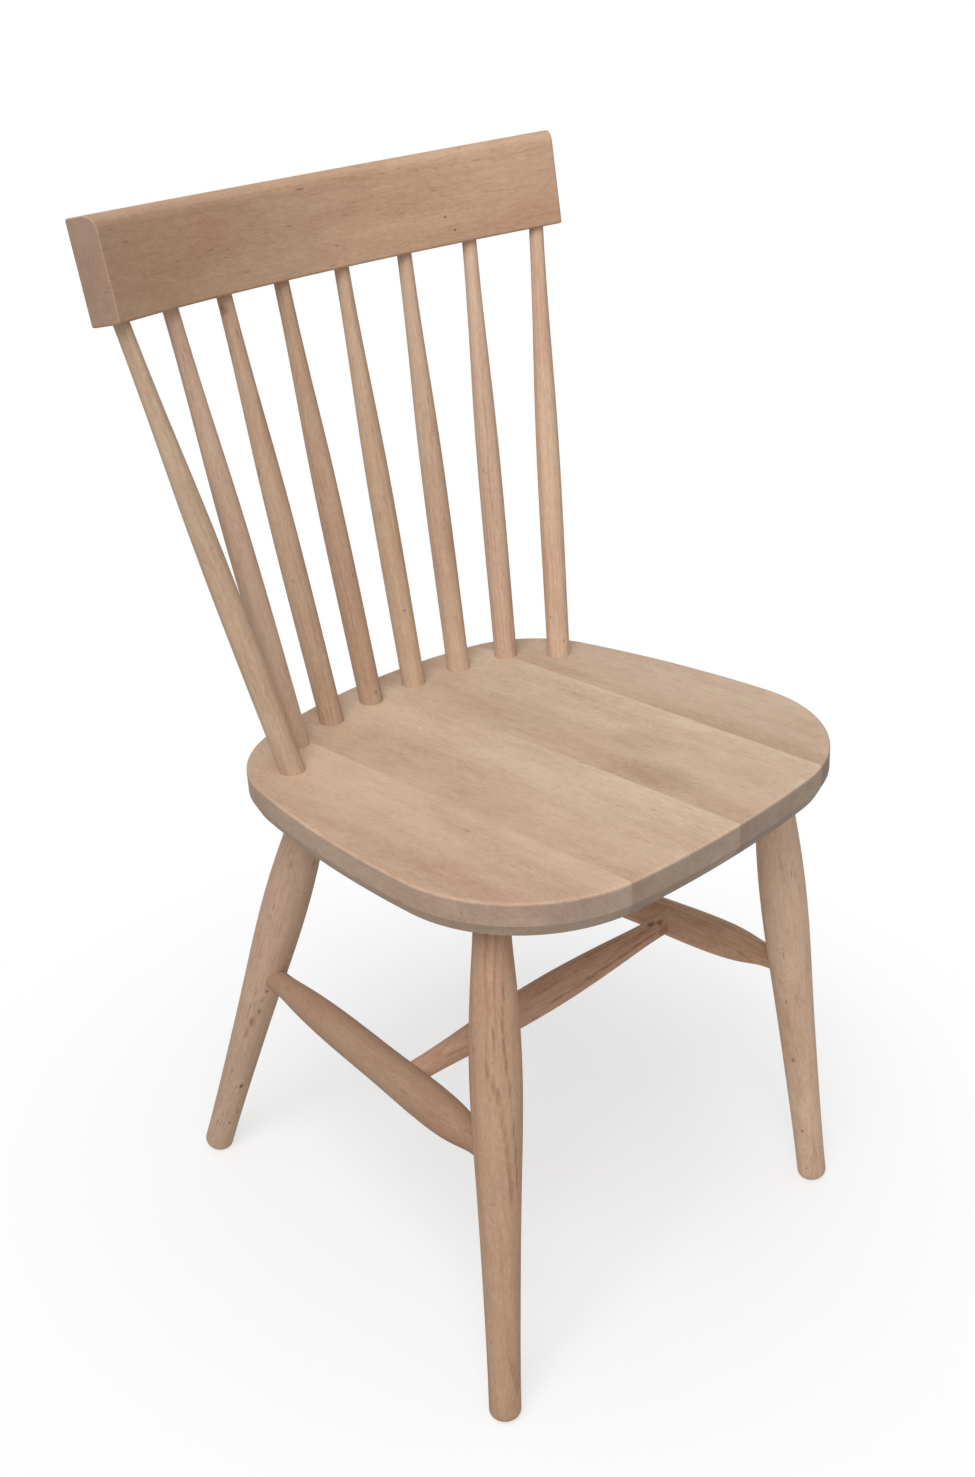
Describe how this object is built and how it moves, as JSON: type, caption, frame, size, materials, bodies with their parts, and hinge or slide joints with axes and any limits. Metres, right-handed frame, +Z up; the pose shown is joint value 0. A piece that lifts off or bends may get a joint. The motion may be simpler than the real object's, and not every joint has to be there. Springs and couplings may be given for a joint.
{
  "type": "windsor chair",
  "caption": "Bare wood windsor chair: solid edge-glued seat, turned splayed legs joined by an H of stretchers, straight turned back spindles under a bent crest rail",
  "frame": {"origin": "on the floor, under the middle of the chair's box", "axes": "+Z up, the sitter faces -Y, +X is the sitter's left"},
  "size_m": [0.455, 0.475, 0.8516],
  "materials": {
    "seat_wood": "bare, sanded",
    "leg_wood": "bare, turned and sanded",
    "stretcher_wood": "bare, turned and sanded",
    "spindle_wood": "bare, turned and sanded",
    "rail_wood": "bare, bent and sanded"
  },
  "bodies": {
    "root": {"seat_board_right_outer": "seat_wood", "seat_board_right_inner": "seat_wood", "seat_board_left_inner": "seat_wood", "seat_board_left_outer": "seat_wood", "leg_front_left": "leg_wood", "leg_front_right": "leg_wood", "leg_rear_left": "leg_wood", "leg_rear_right": "leg_wood", "side_stretcher_left": "stretcher_wood", "side_stretcher_right": "stretcher_wood", "cross_stretcher": "stretcher_wood", "spindle_1": "spindle_wood", "spindle_2": "spindle_wood", "spindle_3": "spindle_wood", "spindle_4": "spindle_wood", "spindle_5": "spindle_wood", "spindle_6": "spindle_wood", "spindle_7": "spindle_wood", "spindle_8": "spindle_wood", "crest_rail": "rail_wood"}
  },
  "joints": []
}
